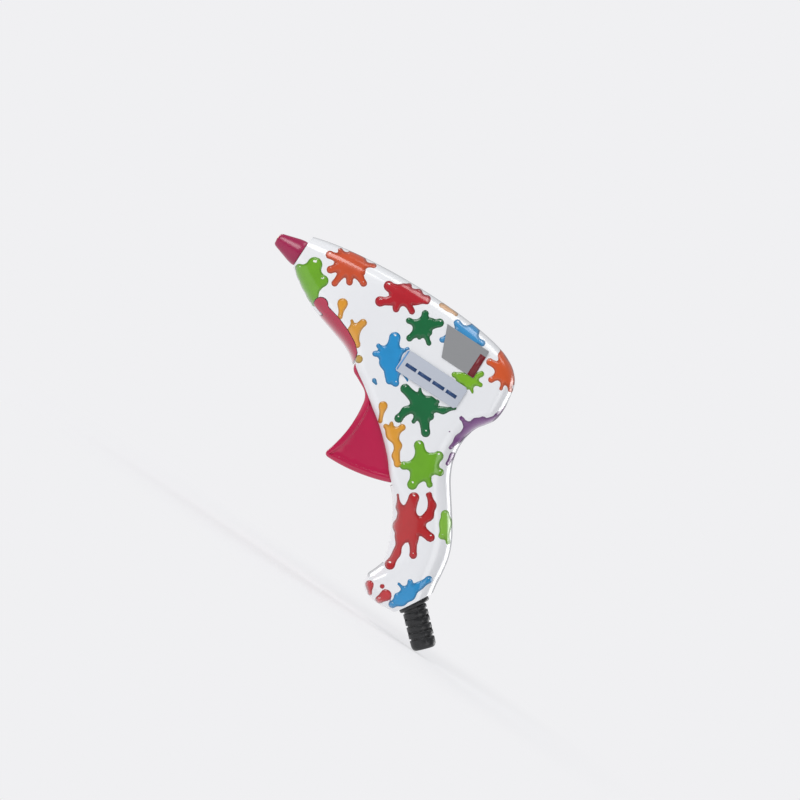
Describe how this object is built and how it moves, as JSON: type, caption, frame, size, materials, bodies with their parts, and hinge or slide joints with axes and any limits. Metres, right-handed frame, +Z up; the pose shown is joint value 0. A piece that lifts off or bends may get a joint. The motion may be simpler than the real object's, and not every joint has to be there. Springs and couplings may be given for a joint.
{
  "type": "glue gun",
  "caption": "Mini hot-melt glue gun: a paint-splashed white pistol housing with a squeeze trigger, heated nozzle and folding front stand.",
  "frame": {"origin": "middle of the foot of the bounding box, below the strain relief's tip", "axes": "+X runs back along the barrel from the nozzle to the stick inlet, +Z up with the barrel level, +Y to the user's side with the screws; the labelled side looks along -Y"},
  "size_m": [0.1548, 0.0288, 0.1331],
  "materials": {
    "white_abs": "glossy white moulded plastic, printed with splashes of glossy paint",
    "crimson_abs": "glossy crimson moulded plastic",
    "pink_abs": "glossy pink moulded plastic",
    "pink_silicone": "satin pink silicone rubber",
    "brass": "turned brass",
    "cast_aluminium": "die-cast, unpolished",
    "steel": "zinc-plated or bright drawn steel",
    "ceramic": "sintered ceramic heating element, matt cream",
    "copper": "rolled copper alloy",
    "polyimide": "amber polyimide film",
    "fibre": "pressed mineral fibre board",
    "white_silicone": "satin white silicone rubber",
    "black_nylon": "moulded nylon, matt black",
    "black_rubber": "moulded flexible PVC, matt black",
    "grey_foil": "printed foil label, grey with a dark red bar",
    "pale_foil": "glossy pale blue-grey name plate"
  },
  "bodies": {
    "root": {"left_housing": "white_abs", "right_housing": "white_abs", "name_plate": "pale_foil", "rating_label": "grey_foil", "housing_screw_1": "steel", "housing_screw_2": "steel", "housing_screw_3": "steel", "housing_screw_4": "steel", "housing_screw_5": "steel", "nozzle": "brass", "nozzle_cover": "pink_silicone", "valve_spring": "steel", "front_ring": "fibre", "melt_chamber": "cast_aluminium", "heater_pill": "ceramic", "upper_electrode": "copper", "lower_electrode": "copper", "insulation_film": "polyimide", "heat_shield": "fibre", "inlet_sleeve": "white_silicone", "sleeve_clamp": "steel", "trigger_pin": "steel", "return_spring": "steel", "stick_guide": "white_abs", "strain_relief": "black_rubber", "cord_clamp": "black_nylon", "clamp_screw_1": "steel", "clamp_screw_2": "steel", "lead_1": "white_silicone", "lead_2": "white_silicone", "crimp_1": "black_nylon", "crimp_2": "black_nylon"},
    "trigger": {"trigger": "crimson_abs", "link_pin": "steel"},
    "link": {"pull_link": "steel"},
    "carriage": {"feed_carriage": "black_nylon", "gripper_pin": "steel"},
    "gripper": {"stick_gripper": "black_nylon"},
    "ball": {"check_ball": "steel"},
    "stand": {"stand": "pink_abs"}
  },
  "joints": [
    {"name": "trigger_squeeze", "type": "hinge", "parent": "root", "child": "trigger", "pos_m": [-0.01455, 0.00045, 0.09006], "axis": [0, -1, 0], "range_deg": [0, 22], "stiffness_Nm_per_rad": 0.6, "springref_deg": -2.86},
    {"name": "link_slide", "type": "slide", "parent": "root", "child": "link", "axis": [-1, 0, 0], "range_m": [0, 0.0069]},
    {"name": "carriage_feed", "type": "slide", "parent": "root", "child": "carriage", "axis": [-1, 0, 0], "range_m": [0, 0.006], "deforming": ["return_spring"]},
    {"name": "gripper_tilt", "type": "hinge", "parent": "carriage", "child": "gripper", "pos_m": [0.02095, 0.00045, 0.10816], "axis": [0, 1, 0], "range_deg": [0, 10.1]},
    {"name": "valve_lift", "type": "slide", "parent": "root", "child": "ball", "axis": [-1, 0, 0], "range_m": [0, 0.0012], "stiffness_N_per_m": 60, "springref_m": -0.0012, "deforming": ["valve_spring"]},
    {"name": "stand_fold", "type": "hinge", "parent": "root", "child": "stand", "pos_m": [-0.04545, 0.00045, 0.10296], "axis": [0, 1, 0], "range_deg": [0, 82]}
  ],
  "couplings": [
    {"joint": "link_slide", "follows": "trigger_squeeze", "m_per_rad": 0.017889},
    {"joint": "carriage_feed", "follows": "trigger_squeeze", "m_per_rad": 0.015538},
    {"joint": "gripper_tilt", "follows": "trigger_squeeze", "ratio": 0.45455}
  ]
}
